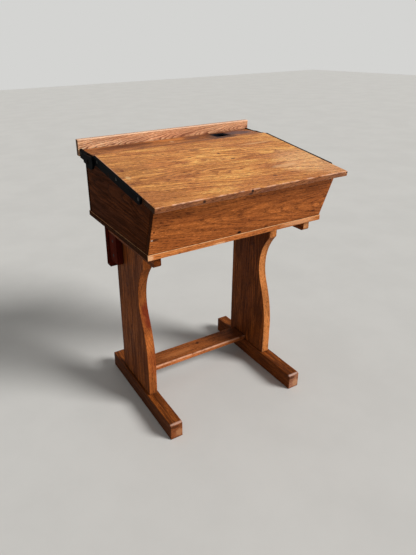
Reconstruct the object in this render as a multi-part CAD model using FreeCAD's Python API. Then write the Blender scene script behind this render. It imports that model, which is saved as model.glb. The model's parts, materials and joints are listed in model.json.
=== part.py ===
import FreeCAD, Part
import math
import os

# A child's school desk with a lift lid: a shallow book box on two sawn uprights,
# each tenoned into a long foot, with an iron strap hinge at each end of the lid.
# Millimetres.  X runs along the desk, Y to its back, Z up.  The pieces are drawn
# with Y = 0 on the line where the lid meets the pen shelf, and are moved at the
# end so that the origin is on the floor under the middle of the whole desk.

# ---- driving sizes -------------------------------------------------------------
# lid
lidWidth = 578.0
lidLength = 358.0
lidThickness = 15.0
lidSlope = 8.2                 # degrees, front edge lower
lidBackHeight = 781.8          # top of the lid at its back edge
lidRearBoard = 166.0           # width of the rear one of the lid's two boards
lidEdgeRound = 2.5
lidRestGap = 0.4               # air under the closed lid
lidEndOverhang = 12.5          # past the sides of the box
lidFrontOverhang = 28.5        # past the top of the box front
battenWidth = 34.0
battenThickness = 13.0
battenFrontSetback = 62.0      # from the lid's front edge
battenRearSetback = 30.0       # from the lid's back edge
battenSideGap = 12.5           # air between batten and box side
# pen shelf and upstand
shelfDepth = 102.3
shelfThickness = 15.0
shelfDrop = 3.5                # top of the shelf below the lid's back edge
shelfEndGap = 0.5              # the shelf is this much shorter than the lid at each end
upstandThickness = 16.0
upstandRise = 28.9             # above the shelf
upstandSkirt = 3.1             # below the shelf's underside
upstandOverhang = 10.0         # past the lid's end
upstandRound = 2.5
inkwellFromEnd = 129.0         # its centre from the end of the lid
inkwellFromBack = 38.3         # its centre from the upstand
inkwellFlangeSide = 54.0       # the well hangs by a square flange
inkwellFlangeCorner = 3.0
inkwellFlangeBevel = 0.8
inkwellFlangeThickness = 3.2
inkwellRebate = 4.2            # depth of the step that the flange rests in
inkwellRadius = 25.0
inkwellBore = 20.5
inkwellDepth = 38.0            # below the flange's top
inkwellFloor = 4.5
inkwellRimRound = 1.0
inkwellPlay = 0.4              # air round the cup and its flange
# book box
boxBoard = 15.0
boxDepth = 207.9               # from the lid's back edge down to the box's underside
bottomThickness = 15.3
bottomProud = 1.5              # past the front and the sides
bottomProudBack = 5.0
bottomRearBoard = 196.0
boxFrontLean = 18.4            # degrees, leaning out at the top
# uprights
uprightInset = 42.3            # outer face in from the side of the box
uprightThickness = 27.5
uprightFrontY = -156.0
uprightBackY = 35.0
waistHeight = 375.0
waistSetback = 44.0
coveRadius = 168.0
flareRadius = 430.0
uprightRound = 1.5
tenonThickness = 11.0
tenonLength = 150.0
tenonDepth = 34.0
# feet
footOffset = 1.3               # the foot stands this much further out than its upright
footWidth = 39.7
footHeight = 53.6
footFrontY = -305.0
footBackY = 114.6
footRound = 2.5
footToeChamfer = 4.5
footToeRound = 1.0
# stretcher
stretcherWidth = 70.0
stretcherThickness = 15.8
stretcherFrontY = -57.0
stretcherRound = 4.0
stretcherTenonWidth = 46.0
stretcherTenonThickness = 9.0
stretcherTenonLength = 17.0
# bearers, cleats and rear rail under the box
bearerThickness = 20.0
bearerHeight = 31.5
bearerSetback = 14.5           # from the foot of the box front
bearerRound = 9.0
railThickness = 19.5
railHeight = 148.0
railOverhang = 3.8             # past the bearers
railRound = 6.0
cleatWidth = 55.0
cleatHeight = 90.0
# hinges
pinRadius = 4.0
pinFit = 0.05                  # radial play of the strap on the pin
pinHeadRadius = 8.5
pinHeadHeight = 2.6
pinY = 24.0
pinDrop = 18.3                 # centre of the pin below the top of the shelf
strapThickness = 6.0
strapHeight = 20.0
strapDrop = 0.5                # top of the strap below the top of the lid
strapEndSetback = 62.0         # from the lid's front edge
strapEndRound = 8.5
strapEyeRadius = 15.0
strapNeckLength = 26.0
hingeSideGap = 0.4             # between strap and bracket
bracketThickness = 6.3
bracketRadius = 17.0
bracketNoseReach = 22.0        # centre of the nose in front of the pin
bracketArmHeight = 25.0
bracketArmRise = 3.0           # top of the arm above the shelf, at the shelf's back
bracketArmSlope = 4.2          # degrees, the arm dips towards the pin
bracketCrankSetback = 9.0      # from the strap's eye, room for the strap of the open lid
bracketCrankLength = 8.0
bracketCrankSlope = 9.0
hingeClearance = 0.8           # between the lid's back edge and the shelf's nose
# fasteners
screwRadius = 2.1
screwHeadRadius = 4.4
screwHeadDepth = 2.6
screwSlotWidth = 1.0
screwSlotDepth = 1.0
screwBite = 13.0               # how far a screw runs into the second piece
nailWidth = 2.2                # cut nails, square in section
nailHeadWidth = 4.6
nailHeadDepth = 1.2
nailBite = 22.0
# fasteners: how far the first and last of a row stand from the ends they keep to
battenScrewInset = 21.0
strapScrewInset = 8.5
bracketScrewInset = 7.5
upstandScrewInset = 58.0
bearerSideInset = 35.0
bearerFrontInset = 53.0
bearerBackInset = 98.0
cleatScrewInset = 22.0
railScrewInset = 32.0
boxNailInset = 25.0
bottomNailInset = 60.0
shelfNailInset = 12.0

# ---- sizes that follow ---------------------------------------------------------
nearly = 0.01                  # slack for picking edges by their boxes
shelfTopHeight = lidBackHeight - shelfDrop
upstandTopHeight = shelfTopHeight + upstandRise
bottomUnderside = lidBackHeight - boxDepth
pinHeight = shelfTopHeight - pinDrop
slope = math.radians(lidSlope)
lean = math.tan(math.radians(boxFrontLean))
lidEnd = lidWidth / 2
lidFrontY = -lidLength * math.cos(slope)
shelfEnd = lidEnd - shelfEndGap
shelfUnderside = shelfTopHeight - shelfThickness
boxSide = lidEnd - lidEndOverhang
boxInside = boxSide - boxBoard
sideMiddle = boxSide - boxBoard / 2
boxFloor = bottomUnderside + bottomThickness
boxBoardLevel = boxBoard / math.cos(math.radians(boxFrontLean))   # box front, cut level
uprightOutside = boxSide - uprightInset
uprightInside = uprightOutside - uprightThickness
uprightMiddle = uprightOutside - uprightThickness / 2
footCentre = uprightMiddle + footOffset
upstandUnderside = shelfUnderside - upstandSkirt
upstandBackY = shelfDepth + upstandThickness
railFrontY = uprightBackY
strapOutside = lidEnd + strapThickness
bracketInside = strapOutside + hingeSideGap
bracketOutside = bracketInside + bracketThickness
bracketArmFall = math.tan(math.radians(bracketArmSlope))
inkwellCentreX = lidEnd - inkwellFromEnd
inkwellCentreY = shelfDepth - inkwellFromBack
boxTopFrontY = lidFrontY + lidFrontOverhang
lidPlane = lidBackHeight - lidThickness / math.cos(slope) - lidRestGap   # top of the box, at Y = 0
boxTopFrontHeight = lidPlane + boxTopFrontY * math.tan(slope)
boxBottomFrontY = boxTopFrontY + lean * (boxTopFrontHeight - boxFloor)
bearerFrontY = boxBottomFrontY + bearerSetback
railHalfLength = uprightOutside + bearerThickness + railOverhang
bottomBackY = shelfDepth + boxBoard + bottomProudBack
middleY = (lidFrontY + bottomBackY) / 2


# ---- small tools ---------------------------------------------------------------
def vector(x, y, z):
    return FreeCAD.Vector(x, y, z)


def block(xSpan, ySpan, zSpan):
    """A box between two values on each axis."""
    size = [abs(span[1] - span[0]) for span in (xSpan, ySpan, zSpan)]
    return Part.makeBox(*size, vector(min(xSpan), min(ySpan), min(zSpan)))


def roundedWire(corners):
    """A closed outline in the YZ plane; each corner is (y, z, radius)."""
    edges = []
    joins = []
    count = len(corners)
    for index, (y, z, radius) in enumerate(corners):
        here = vector(0, y, z)
        before = vector(0, *corners[index - 1][:2]) - here
        after = vector(0, *corners[(index + 1) % count][:2]) - here
        before.normalize()
        after.normalize()
        if radius == 0:
            joins.append((here, here))
            continue
        half = before.getAngle(after) / 2
        reach = radius / math.tan(half)
        inward = before + after
        inward.normalize()
        apex = here + inward * (radius / math.sin(half) - radius)
        start = here + before * reach
        end = here + after * reach
        edges.append(Part.Arc(start, apex, end).toShape())
        joins.append((start, end))
    for index in range(count):
        start = joins[index][1]
        end = joins[(index + 1) % count][0]
        if start.distanceToPoint(end) > 1e-6:
            edges.append(Part.LineSegment(start, end).toShape())
    return Part.Wire(Part.__sortEdges__(edges))


def plate(corners, xSpan):
    """An outline in the YZ plane, made thick along X."""
    face = Part.Face(roundedWire(corners))
    face.translate(vector(min(xSpan), 0, 0))
    return face.extrude(vector(max(xSpan) - min(xSpan), 0, 0))


def sharp(points):
    return [(y, z, 0) for y, z in points]


def rod(start, direction, radius, length):
    return Part.makeCylinder(radius, length, start, direction)


def roundEdges(shape, radius, wanted):
    """Round the straight or curved edges that the test picks by their box."""
    picked = [edge for edge in shape.Edges if wanted(edge.BoundBox)]
    return shape.makeFillet(radius, picked)


def other(shape):
    """The same piece for the other end of the desk."""
    return shape.mirror(vector(0, 0, 0), vector(1, 0, 0))


def pair(shape):
    return [other(shape), shape]


def spread(first, last, count):
    """Evenly spaced values from first to last."""
    return [first + (last - first) * index / (count - 1) for index in range(count)]


def onLid(shape):
    """Tilt a piece drawn with the lid lying level, its back top edge on the X axis."""
    turned = shape.copy()
    turned.rotate(vector(0, 0, 0), vector(1, 0, 0), lidSlope)
    turned.translate(vector(0, 0, lidBackHeight))
    return turned


def screw(head, direction, thickness):
    """A countersunk wood screw through one piece and screwBite into the next."""
    cone = Part.makeCone(screwHeadRadius, screwRadius, screwHeadDepth, head, direction)
    shank = rod(head, direction, screwRadius, thickness + screwBite)
    body = cone.fuse(shank).removeSplitter()
    slot = Part.makeBox(3 * screwHeadRadius, screwSlotWidth, 2 * screwSlotDepth)
    slot.translate(vector(-1.5 * screwHeadRadius, -screwSlotWidth / 2, -screwSlotDepth))
    turned = FreeCAD.Placement(head, FreeCAD.Rotation(vector(0, 0, 1), direction))
    slot.Placement = turned * slot.Placement
    return body.cut(slot)


def screwHole(head, direction, thickness):
    """The room that the same screw takes, its slot included."""
    cone = Part.makeCone(screwHeadRadius, screwRadius, screwHeadDepth, head, direction)
    return cone.fuse(rod(head, direction, screwRadius, thickness + screwBite))


def squareBar(head, direction, width, length):
    """A square bar that starts at one place and runs in one direction."""
    bar = block((-width / 2, width / 2), (-width / 2, width / 2), (0, length))
    bar.Placement = FreeCAD.Placement(head, FreeCAD.Rotation(vector(0, 0, 1), direction)) * bar.Placement
    return bar


def nail(head, direction, thickness):
    cap = squareBar(head, direction, nailHeadWidth, nailHeadDepth)
    return cap.fuse(squareBar(head, direction, nailWidth, thickness + nailBite)).removeSplitter()


def bored(piece, holes):
    """A piece with the room for its fasteners cut out."""
    return piece.cut(Part.makeCompound(holes))


def fixed(places, direction, thickness):
    """Screws at some places, with the holes that they need."""
    screws = [screw(place, direction, thickness) for place in places]
    holes = [screwHole(place, direction, thickness) for place in places]
    return screws, holes


pieces = {}


def keep(name, shapes):
    """Store a piece, or several like pieces, under a node's name."""
    parts = shapes if isinstance(shapes, list) else [shapes]
    solids = [solid for part in parts for solid in part.Solids]
    pieces[name] = solids[0] if len(solids) == 1 else Part.makeCompound(solids)


def keepPair(name, shape):
    keep(name + "_left", other(shape))
    keep(name + "_right", shape)


# ---- lid: two boards, two battens, two straps ----------------------------------
def lidBoards():
    whole = block((-lidEnd, lidEnd), (-lidLength, 0), (-lidThickness, 0))

    def outer(box):
        top = box.ZMin > -lidEdgeRound and box.ZLength < nearly
        front = box.YMax < -lidLength + nearly and box.XLength > lidWidth / 2
        return top or front

    whole = roundEdges(whole, lidEdgeRound, outer)
    rear = block((-lidEnd, lidEnd), (-lidRearBoard, 0), (-lidThickness, 0))
    return whole.cut(rear), whole.common(rear)


def lidBatten():
    start = boxInside - battenSideGap
    front = -lidLength + battenFrontSetback
    end = -battenRearSetback
    underside = -lidThickness - battenThickness
    middle = start - battenWidth / 2
    batten = block((start - battenWidth, start), (front, end), (underside, -lidThickness))
    places = [vector(middle, y, underside)
              for y in spread(front + battenScrewInset, end - battenScrewInset, 4)]
    bite = battenThickness - screwBite + lidThickness / 2
    return batten, fixed(places, vector(0, 0, 1), bite)


def strapPin():
    """The hinge pin seen in the level lid's own frame, as (y, z)."""
    y = pinY
    z = pinHeight - lidBackHeight
    return y * math.cos(slope) + z * math.sin(slope), z * math.cos(slope) - y * math.sin(slope)


def tangentPoint(start, centre, radius, side):
    """Where the line from start touches the circle, on its left (1) or right (-1)."""
    gapY = centre[0] - start[0]
    gapZ = centre[1] - start[1]
    span = math.hypot(gapY, gapZ)
    turn = math.atan2(gapZ, gapY) + side * math.asin(radius / span)
    reach = math.sqrt(span ** 2 - radius ** 2)
    return start[0] + reach * math.cos(turn), start[1] + reach * math.sin(turn)


def hingeStrap():
    """Iron strap along the lid's end, with an eye that turns on the pin."""
    eye = strapPin()
    xSpan = (lidEnd, strapOutside)
    tip = -lidLength + strapEndSetback
    top = -strapDrop
    low = top - strapHeight
    band = plate([(tip, low, strapEndRound), (-strapNeckLength, low, 0),
                  (-strapNeckLength, top, 0), (tip, top, strapEndRound / 2)], xSpan)
    shoulder = (-strapNeckLength / 4, top)
    heel = (-strapNeckLength, low)
    neck = plate(sharp([(-strapNeckLength, top), shoulder,
                        tangentPoint(shoulder, eye, strapEyeRadius, 1), eye,
                        tangentPoint(heel, eye, strapEyeRadius, -1), heel]), xSpan)
    along = vector(1, 0, 0)
    centre = vector(lidEnd, eye[0], eye[1])
    strap = band.fuse([neck, rod(centre, along, strapEyeRadius, strapThickness)]).removeSplitter()
    strap = strap.cut(rod(centre, along, pinRadius + pinFit, strapThickness))
    places = [vector(strapOutside, y, -lidThickness / 2)
              for y in spread(tip + strapScrewInset, -strapNeckLength - strapScrewInset, 3)]
    return strap, fixed(places, vector(-1, 0, 0), strapThickness)


# ---- hinge bracket and pin, fixed to the shelf's ends --------------------------
def hingeBracket():
    """Cranked iron arm along the shelf's end, ending in a plate over the strap's eye."""
    crankStart = pinY + strapEyeRadius + bracketCrankSetback
    crankEnd = crankStart + bracketCrankLength
    corners = [(bracketInside, pinY), (bracketOutside, pinY), (bracketOutside, crankEnd),
               (strapOutside, crankEnd + bracketCrankSlope), (strapOutside, shelfDepth),
               (shelfEnd, shelfDepth), (shelfEnd, crankStart), (bracketInside, crankStart)]
    points = [vector(x, y, bottomUnderside) for x, y in corners]
    plan = Part.Face(Part.makePolygon(points + points[:1]))

    def topAt(y):
        return shelfTopHeight + bracketArmRise - (shelfDepth - y) * bracketArmFall

    side = [(pinY, topAt(pinY)), (shelfDepth, topAt(shelfDepth)),
            (shelfDepth, topAt(shelfDepth) - bracketArmHeight), (pinY, topAt(pinY) - bracketArmHeight)]
    arm = plan.extrude(vector(0, 0, boxDepth)).common(plate(sharp(side), (shelfEnd, bracketOutside)))
    along = vector(1, 0, 0)
    noseY = pinY - bracketNoseReach
    web = block((bracketInside, bracketOutside), (noseY, pinY),
                (pinHeight - bracketRadius, pinHeight + bracketRadius))
    ends = [rod(vector(bracketInside, y, pinHeight), along, bracketRadius, bracketThickness)
            for y in (noseY, pinY)]
    bracket = arm.fuse([web] + ends).removeSplitter()
    bracket = bracket.cut(rod(vector(bracketInside, pinY, pinHeight), along, pinRadius, bracketThickness))
    screwHeight = shelfUnderside + shelfThickness / 2
    flatStart = crankEnd + bracketCrankSlope
    places = [vector(strapOutside, y, screwHeight)
              for y in spread(flatStart + bracketScrewInset, shelfDepth - bracketScrewInset, 2)]
    return bracket, fixed(places, vector(-1, 0, 0), strapThickness + shelfEndGap)


def hingePin():
    """A round-headed pin, tight in the bracket and free in the strap."""
    along = vector(1, 0, 0)
    inner = lidEnd + hingeSideGap
    shank = rod(vector(inner, pinY, pinHeight), along, pinRadius, bracketOutside - inner)
    domeRadius = (pinHeadRadius ** 2 + pinHeadHeight ** 2) / (2 * pinHeadHeight)
    dome = Part.makeSphere(domeRadius, vector(bracketOutside + pinHeadHeight - domeRadius, pinY, pinHeight))
    cap = rod(vector(bracketOutside, pinY, pinHeight), along, pinHeadRadius, pinHeadHeight)
    return shank.fuse(cap.common(dome)).removeSplitter()


# ---- pen shelf, upstand and inkwell --------------------------------------------
def penShelf():
    """Level shelf; its nose is turned about the hinge pin so that the lid clears it."""
    cornerY = lidThickness * math.sin(slope)
    cornerZ = lidBackHeight - lidThickness * math.cos(slope)
    noseRadius = math.hypot(pinY - cornerY, cornerZ - pinHeight) - hingeClearance
    heights = (shelfUnderside, (shelfUnderside + shelfTopHeight) / 2, shelfTopHeight)
    low, middle, high = [vector(0, pinY - math.sqrt(noseRadius ** 2 - (z - pinHeight) ** 2), z)
                         for z in heights]
    backLow = vector(0, shelfDepth, shelfUnderside)
    backHigh = vector(0, shelfDepth, shelfTopHeight)
    edges = [Part.Arc(low, middle, high).toShape(),
             Part.LineSegment(high, backHigh).toShape(),
             Part.LineSegment(backHigh, backLow).toShape(),
             Part.LineSegment(backLow, low).toShape()]
    face = Part.Face(Part.Wire(edges))
    face.translate(vector(-shelfEnd, 0, 0))
    shelf = face.extrude(vector(2 * shelfEnd, 0, 0))
    return shelf.cut(inkwellHole())


def column(radius, low, high):
    """An upright cylinder about the inkwell's centre."""
    return rod(vector(inkwellCentreX, inkwellCentreY, low), vector(0, 0, 1), radius, high - low)


def flangePlate(side, low, high):
    """A square plate about the inkwell's centre, its upright corners rounded."""
    half = side / 2
    slab = block((inkwellCentreX - half, inkwellCentreX + half),
                 (inkwellCentreY - half, inkwellCentreY + half), (low, high))

    def upright(box):
        return box.ZLength > (high - low) / 2

    return roundEdges(slab, inkwellFlangeCorner, upright)


def inkwellHole():
    """Stepped hole in the shelf: a square rebate over the round hole for the cup."""
    rebate = flangePlate(inkwellFlangeSide + 2 * inkwellPlay, shelfTopHeight - inkwellRebate, shelfTopHeight)
    return rebate.fuse(column(inkwellRadius + inkwellPlay, shelfUnderside, shelfTopHeight))


def inkwellCup():
    """Glazed stoneware well, hanging by its square flange."""
    top = shelfTopHeight - inkwellRebate + inkwellFlangeThickness
    flange = flangePlate(inkwellFlangeSide, top - inkwellFlangeThickness, top)
    outline = [edge for edge in flange.Edges if edge.BoundBox.ZMin > top - nearly]
    flange = flange.makeChamfer(inkwellFlangeBevel, outline)
    cup = flange.fuse(column(inkwellRadius, top - inkwellDepth, top)).removeSplitter()
    cup = cup.cut(column(inkwellBore, top - inkwellDepth + inkwellFloor, top))

    def rim(box):
        return box.ZMin > top - nearly and abs(box.XLength - 2 * inkwellBore) < nearly

    return roundEdges(cup, inkwellRimRound, rim)


def upstandRail():
    end = lidEnd + upstandOverhang
    rail = block((-end, end), (shelfDepth, upstandBackY), (upstandUnderside, upstandTopHeight))

    def top(box):
        return box.ZMin > upstandTopHeight - nearly

    rail = roundEdges(rail, upstandRound, top)
    places = [vector(x, upstandBackY, shelfUnderside + shelfThickness / 2)
              for x in spread(upstandScrewInset - lidEnd, lidEnd - upstandScrewInset, 4)]
    return rail, fixed(places, vector(0, -1, 0), upstandThickness)


# ---- book box ------------------------------------------------------------------
def boxFront():
    """Leaning front board; its top follows the underside of the lid."""
    inside = boxBottomFrontY + boxBoardLevel
    rise = (lidPlane + inside * math.tan(slope) - boxFloor) / (1 + math.tan(slope) * lean)
    points = [(boxBottomFrontY, boxFloor), (boxTopFrontY, boxTopFrontHeight),
              (inside - lean * rise, boxFloor + rise), (inside, boxFloor)]
    return plate(sharp(points), (-boxSide, boxSide)), points


def boxSideBoard(frontPoints):
    innerTop = frontPoints[2]
    innerFoot = frontPoints[3]
    outline = [innerFoot, innerTop, (0, lidPlane), (0, shelfUnderside),
               (shelfDepth, shelfUnderside), (shelfDepth, boxFloor)]
    return plate(sharp(outline), (boxInside, boxSide))


def boxBack():
    return block((-boxSide, boxSide), (shelfDepth, shelfDepth + boxBoard), (boxFloor, upstandUnderside))


def bottomBoards():
    edge = boxSide + bottomProud
    front = boxBottomFrontY - bottomProud
    whole = block((-edge, edge), (front, bottomBackY), (bottomUnderside, boxFloor))

    def frontEdge(box):
        return box.YMax < front + nearly and box.XLength > boxSide

    whole = roundEdges(whole, bottomProud, frontEdge)
    rear = block((-edge, edge), (bottomBackY - bottomRearBoard, bottomBackY), (bottomUnderside, boxFloor))
    return whole.cut(rear), whole.common(rear)


def frontNails(frontPoints):
    """Three nails at each end of the front, driven square into the side boards."""
    foot, head = frontPoints[0], frontPoints[1]
    angle = math.radians(boxFrontLean)
    inward = vector(0, math.cos(angle), math.sin(angle))
    height = head[1] - foot[1]
    return [nail(vector(x, foot[0] - lean * rise, foot[1] + rise), inward, boxBoard)
            for x in (-sideMiddle, sideMiddle)
            for rise in spread(boxNailInset, height - boxNailInset, 3)]


def bottomNails():
    """Nails up through the bottom into the sides, the front and the back."""
    frontMiddle = boxBottomFrontY + (boxBoardLevel - lean * nailBite) / 2
    backMiddle = shelfDepth + boxBoard / 2
    rows = [(x, y) for x in (-sideMiddle, sideMiddle)
            for y in spread(boxBottomFrontY + bottomNailInset, shelfDepth - boxNailInset, 4)]
    rows += [(x, y) for x in spread(-boxInside / 2, boxInside / 2, 3)
             for y in (frontMiddle, backMiddle)]
    return [nail(vector(x, y, bottomUnderside), vector(0, 0, 1), bottomThickness) for x, y in rows]


def backNails():
    """Nails through the back into the ends of the side boards."""
    return [nail(vector(x, shelfDepth + boxBoard, z), vector(0, -1, 0), boxBoard)
            for x in (-sideMiddle, sideMiddle)
            for z in spread(boxFloor + boxNailInset, upstandUnderside - boxNailInset, 3)]


def shelfNails():
    """Nails down through the shelf into the side boards."""
    return [nail(vector(x, y, shelfTopHeight), vector(0, 0, -1), shelfThickness)
            for x in (-sideMiddle, sideMiddle)
            for y in spread(pinY + shelfNailInset, shelfDepth - 2 * shelfNailInset, 2)]


# ---- uprights, feet and stretcher ----------------------------------------------
def uprightOutline():
    """Front edge: a long flare from the foot to the waist, then a cove to the head."""
    waistY = uprightFrontY + waistSetback
    turn = math.acos(1 - waistSetback / (coveRadius + flareRadius))
    head = math.acos(1 - waistSetback / coveRadius)

    def onCove(angle):
        return vector(0, waistY - coveRadius * (1 - math.cos(angle)),
                      waistHeight + coveRadius * math.sin(angle))

    def onFlare(angle):
        start = onCove(-turn)
        return vector(0, start.y - flareRadius * (math.cos(angle) - math.cos(turn)),
                      start.z - flareRadius * (math.sin(turn) - math.sin(angle)))

    cove = Part.Arc(onCove(-turn), onCove(0), onCove(head)).toShape()
    flare = Part.Arc(onFlare(0), onFlare(turn / 2), onFlare(turn)).toShape()
    foot = vector(0, uprightFrontY, footHeight)
    top = vector(0, uprightFrontY, bottomUnderside)
    backTop = vector(0, uprightBackY, bottomUnderside)
    backFoot = vector(0, uprightBackY, footHeight)
    lines = [(foot, onFlare(0)), (onCove(head), top), (top, backTop), (backTop, backFoot), (backFoot, foot)]
    edges = [Part.LineSegment(*line).toShape() for line in lines]
    return Part.Wire(Part.__sortEdges__(edges + [cove, flare]))


def uprightTenon(depth):
    middle = (uprightFrontY + uprightBackY) / 2
    return block((uprightMiddle - tenonThickness / 2, uprightMiddle + tenonThickness / 2),
                 (middle - tenonLength / 2, middle + tenonLength / 2),
                 (footHeight - depth, footHeight))


def upright():
    face = Part.Face(uprightOutline())
    face.translate(vector(uprightInside, 0, 0))
    board = face.extrude(vector(uprightThickness, 0, 0))

    def upAndDown(box):
        return box.XLength < nearly and box.ZLength > 2 * uprightRound

    board = roundEdges(board, uprightRound, upAndDown)
    return board.fuse(uprightTenon(tenonDepth)).removeSplitter()


def foot():
    side = footWidth / 2
    outline = [(footFrontY, 0, footRound), (footFrontY, footHeight - footToeChamfer, footToeRound),
               (footFrontY + footToeChamfer, footHeight, footToeRound),
               (footBackY, footHeight, footRound), (footBackY, 0, footRound)]
    beam = plate(outline, (footCentre - side, footCentre + side))

    def upperLong(box):
        return box.ZMin > footHeight - nearly and box.YLength > footWidth

    beam = roundEdges(beam, footRound, upperLong)
    return beam.cut(uprightTenon(tenonDepth))


def stretcher():
    """Flat board between the uprights, resting on the feet, with a tenon at each end."""
    back = stretcherFrontY + stretcherWidth
    top = footHeight + stretcherThickness
    board = block((-uprightInside, uprightInside), (stretcherFrontY, back), (footHeight, top))

    def frontTop(box):
        return box.ZMin > top - nearly and box.YMax < stretcherFrontY + nearly

    board = roundEdges(board, stretcherRound, frontTop)
    middle = (stretcherFrontY + back) / 2
    half = stretcherTenonWidth / 2
    level = footHeight + stretcherThickness / 2
    rise = stretcherTenonThickness / 2
    reach = uprightInside + stretcherTenonLength
    tenon = block((-reach, reach), (middle - half, middle + half), (level - rise, level + rise))
    return board.fuse(tenon).removeSplitter()


# ---- bearers, cleats and rear rail ---------------------------------------------
def bearer():
    """Batten on the upright's outer face that carries the box."""
    low = bottomUnderside - bearerHeight
    outline = [(bearerFrontY, low, bearerRound), (bearerFrontY, bottomUnderside, 0),
               (railFrontY, bottomUnderside, 0), (railFrontY, low, 0)]
    batten = plate(outline, (uprightOutside, uprightOutside + bearerThickness))
    outer = uprightOutside + bearerThickness
    middle = bottomUnderside - bearerHeight / 2
    sideways = [vector(outer, y, middle)
                for y in spread(uprightFrontY + bearerSideInset, uprightBackY - bearerSideInset, 2)]
    upward = [vector(uprightOutside + bearerThickness / 2, y, low)
              for y in spread(bearerFrontY + bearerFrontInset, uprightBackY - bearerBackInset, 3)]
    intoUpright = fixed(sideways, vector(-1, 0, 0), bearerThickness)
    intoBottom = fixed(upward, vector(0, 0, 1), bearerHeight - screwBite / 3)
    return batten, intoUpright, intoBottom


def rearCleat():
    """Upright corner block between bearer, upright and rail."""
    top = bottomUnderside - bearerHeight
    outer = uprightOutside + bearerThickness
    cleat = block((uprightOutside, outer), (railFrontY - cleatWidth, railFrontY), (top - cleatHeight, top))
    places = [vector(outer, railFrontY - cleatWidth / 2, z)
              for z in spread(top - cleatScrewInset, top - cleatHeight + cleatScrewInset, 2)]
    return cleat, fixed(places, vector(-1, 0, 0), bearerThickness)


def rearRail():
    low = bottomUnderside - railHeight
    board = block((-railHalfLength, railHalfLength), (railFrontY, railFrontY + railThickness),
                  (low, bottomUnderside))

    def lowerCorners(box):
        return box.ZMax < low + nearly and box.XLength < nearly

    board = roundEdges(board, railRound, lowerCorners)
    back = railFrontY + railThickness
    places = [vector(x, back, z) for x in (-uprightMiddle, uprightMiddle)
              for z in spread(low + railScrewInset, bottomUnderside - railScrewInset, 2)]
    return board, fixed(places, vector(0, -1, 0), railThickness)


# ---- put the desk together -----------------------------------------------------
def makeLid():
    front, rear = lidBoards()
    batten, (battenScrews, battenHoles) = lidBatten()
    strap, (strapScrews, strapHoles) = hingeStrap()
    holes = [onLid(hole) for side in (battenHoles, strapHoles) for one in side for hole in pair(one)]
    keep("lid_board_front", bored(onLid(front), holes))
    keep("lid_board_rear", bored(onLid(rear), holes))
    keepPair("lid_batten", onLid(bored(batten, battenHoles)))
    keep("lid_batten_screws", [onLid(one) for item in battenScrews for one in pair(item)])
    keepPair("hinge_strap", onLid(bored(strap, strapHoles)))
    keep("hinge_strap_screws", [onLid(one) for item in strapScrews for one in pair(item)])


def makeShelf():
    bracket, (bracketScrews, bracketHoles) = hingeBracket()
    rail, (railScrews, railHoles) = upstandRail()
    nails = shelfNails()
    holes = [one for hole in bracketHoles for one in pair(hole)] + railHoles + nails
    keep("pen_shelf", bored(penShelf(), holes))
    keep("inkwell_cup", inkwellCup())
    keep("upstand_rail", bored(rail, railHoles))
    keep("upstand_screws", railScrews)
    keep("shelf_nails", nails)
    keepPair("hinge_bracket", bored(bracket, bracketHoles))
    keep("hinge_bracket_screws", [one for item in bracketScrews for one in pair(item)])
    keepPair("hinge_pin", hingePin())
    return nails


def makeBox(nailsAbove, screwHolesBelow):
    front, frontPoints = boxFront()
    side = boxSideBoard(frontPoints)
    intoFront = frontNails(frontPoints)
    intoBack = backNails()
    below = bottomNails()
    every = intoFront + intoBack + below + nailsAbove
    bottomFront, bottomRear = bottomBoards()
    keep("box_front", bored(front, intoFront + below))
    keep("box_side_left", bored(other(side), every))
    keep("box_side_right", bored(side, every))
    keep("box_back", bored(boxBack(), intoBack + below))
    keep("bottom_board_front", bored(bottomFront, below + screwHolesBelow))
    keep("bottom_board_rear", bored(bottomRear, below + screwHolesBelow))
    keep("box_front_nails", intoFront)
    keep("box_back_nails", intoBack)
    keep("box_bottom_nails", below)


def makeStand():
    batten, (sideScrews, sideHoles), (upScrews, upHoles) = bearer()
    cleat, (cleatScrews, cleatHoles) = rearCleat()
    rail, (railScrews, railHoles) = rearRail()
    board = stretcher()
    leg = upright().cut(board)
    leg = bored(leg, sideHoles + cleatHoles + railHoles)
    keepPair("upright", leg)
    keepPair("foot", foot())
    keep("stretcher", board)
    keepPair("bearer", bored(batten, sideHoles + upHoles))
    keepPair("rear_cleat", bored(cleat, cleatHoles))
    keep("rear_rail", bored(rail, railHoles))
    keep("bearer_screws", [one for item in sideScrews + upScrews for one in pair(item)])
    keep("rear_cleat_screws", [one for item in cleatScrews for one in pair(item)])
    keep("rear_rail_screws", railScrews)
    return [one for hole in upHoles for one in pair(hole)]


makeLid()
shelfNailSolids = makeShelf()
bearerHoles = makeStand()
makeBox(shelfNailSolids, bearerHoles)

os.makedirs("parts", exist_ok=True)
for name, shape in pieces.items():
    placed = shape.copy()
    placed.translate(vector(0, -middleY, 0))
    placed.exportStep("parts/" + name + ".step")
print(len(pieces), "nodes; lid line at Y", round(-middleY, 2), "; hinge pin at Y", round(pinY - middleY, 2))
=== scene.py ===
import json
import math
import random

import bmesh
import bpy
from mathutils import Euler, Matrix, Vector, noise


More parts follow.
